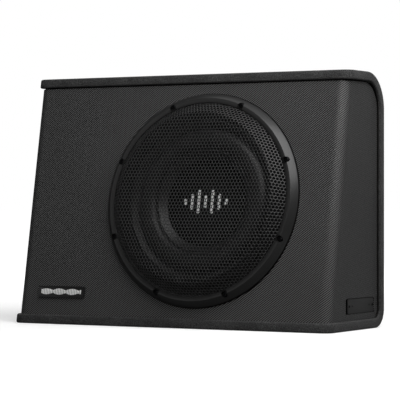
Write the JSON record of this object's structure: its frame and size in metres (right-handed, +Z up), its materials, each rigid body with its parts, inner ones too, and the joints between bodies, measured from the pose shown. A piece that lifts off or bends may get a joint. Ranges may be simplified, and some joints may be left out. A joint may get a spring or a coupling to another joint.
{
  "type": "powered car subwoofer",
  "caption": "Slanted sealed subwoofer box with a carpeted C-shaped shell, woven vinyl baffle, round steel grille over one driver, and an amplifier tray in one end.",
  "frame": {"origin": "middle of the flat bottom face that the box stands on", "axes": "+X along the box to the right seen from the front, +Y to the back, +Z up"},
  "size_m": [0.545, 0.2004, 0.38],
  "materials": {
    "carpet": "charcoal needle-punch carpet",
    "woven_vinyl": "black vinyl with an embossed basket weave",
    "fibreboard": "raw medium density fibreboard",
    "gloss_black_plastic": "gloss black moulding",
    "matt_black_plastic": "matt black moulding",
    "black_coated_steel": "black powder coat on perforated steel",
    "black_zinc_screw": "black zinc",
    "black_rubber": "matt rubber and foam",
    "polypropylene_cone": "satin black polypropylene",
    "enamelled_copper": "enamelled copper wire",
    "aluminium": "brushed and cast aluminium",
    "zinc_plated_steel": "zinc plated steel",
    "ferrite": "sintered ferrite",
    "resin_cloth": "resin dipped cloth",
    "circuit_board": "solder mask",
    "white_plastic": "white moulding",
    "blue_lens": "clear blue lens",
    "green_fuse": "blade fuse plastic"
  },
  "bodies": {
    "enclosure": {"amp_circuit_board": "circuit_board", "amp_housing": "zinc_plated_steel", "amp_panel": "aluminium", "amp_screw_1": "black_zinc_screw", "amp_screw_2": "black_zinc_screw", "amp_screw_3": "black_zinc_screw", "amp_screw_4": "black_zinc_screw", "badge_plate": "matt_black_plastic", "basket": "matt_black_plastic", "corner_post_left": "fibreboard", "corner_post_right": "fibreboard", "cover_plate": "matt_black_plastic", "cover_screw_1": "black_zinc_screw", "cover_screw_2": "black_zinc_screw", "divider_panel": "fibreboard", "driver_terminal": "matt_black_plastic", "filter_capacitor_1": "matt_black_plastic", "filter_capacitor_2": "matt_black_plastic", "front_baffle": "fibreboard", "fuse": "green_fuse", "gasket_ring": "black_rubber", "grille_mesh": "black_coated_steel", "heat_sink": "aluminium", "high_level_socket": "matt_black_plastic", "magnet": "ferrite", "magnet_boot": "black_rubber", "pole_yoke": "zinc_plated_steel", "power_terminal": "matt_black_plastic", "power_transformer": "enamelled_copper", "rca_jack_left": "zinc_plated_steel", "rca_jack_right": "zinc_plated_steel", "ring_screw_1": "black_zinc_screw", "ring_screw_2": "black_zinc_screw", "ring_screw_3": "black_zinc_screw", "ring_screw_4": "black_zinc_screw", "ring_screw_5": "black_zinc_screw", "ring_screw_6": "black_zinc_screw", "ring_screw_7": "black_zinc_screw", "ring_screw_8": "black_zinc_screw", "side_panel_left": "fibreboard", "side_panel_right": "fibreboard", "speaker_lead": "black_rubber", "spider": "resin_cloth", "status_led": "blue_lens", "surround": "black_rubber", "tinsel_lead_1": "enamelled_copper", "tinsel_lead_2": "enamelled_copper", "top_plate": "zinc_plated_steel", "trim_ring": "gloss_black_plastic", "vinyl_cover": "woven_vinyl", "wrap_board": "carpet"},
    "cone_assembly": {"cone": "polypropylene_cone", "dust_cap": "polypropylene_cone", "voice_coil_former": "aluminium", "voice_coil_winding": "enamelled_copper"},
    "gain_control": {"gain_knob": "matt_black_plastic"},
    "crossover_control": {"crossover_knob": "matt_black_plastic"},
    "bass_control": {"bass_knob": "matt_black_plastic"},
    "phase_control": {"phase_switch": "white_plastic"}
  },
  "joints": [
    {"name": "cone_stroke", "type": "slide", "parent": "enclosure", "child": "cone_assembly", "axis": [0, -0.9837, 0.1797], "range_m": [-0.01, 0.01], "stiffness_N_per_m": 2500, "deforming": ["surround", "spider", "tinsel_lead_1", "tinsel_lead_2"]},
    {"name": "gain_turn", "type": "hinge", "parent": "enclosure", "child": "gain_control", "pos_m": [-0.26, 0.05, 0.262], "axis": [-1, 0, 0], "range_deg": [-140, 140]},
    {"name": "crossover_turn", "type": "hinge", "parent": "enclosure", "child": "crossover_control", "pos_m": [-0.26, 0.03, 0.262], "axis": [-1, 0, 0], "range_deg": [-140, 140]},
    {"name": "bass_turn", "type": "hinge", "parent": "enclosure", "child": "bass_control", "pos_m": [-0.26, 0.01, 0.262], "axis": [-1, 0, 0], "range_deg": [-140, 140]},
    {"name": "phase_slide", "type": "slide", "parent": "enclosure", "child": "phase_control", "axis": [0, 0, 1], "range_m": [0, 0.004]}
  ]
}
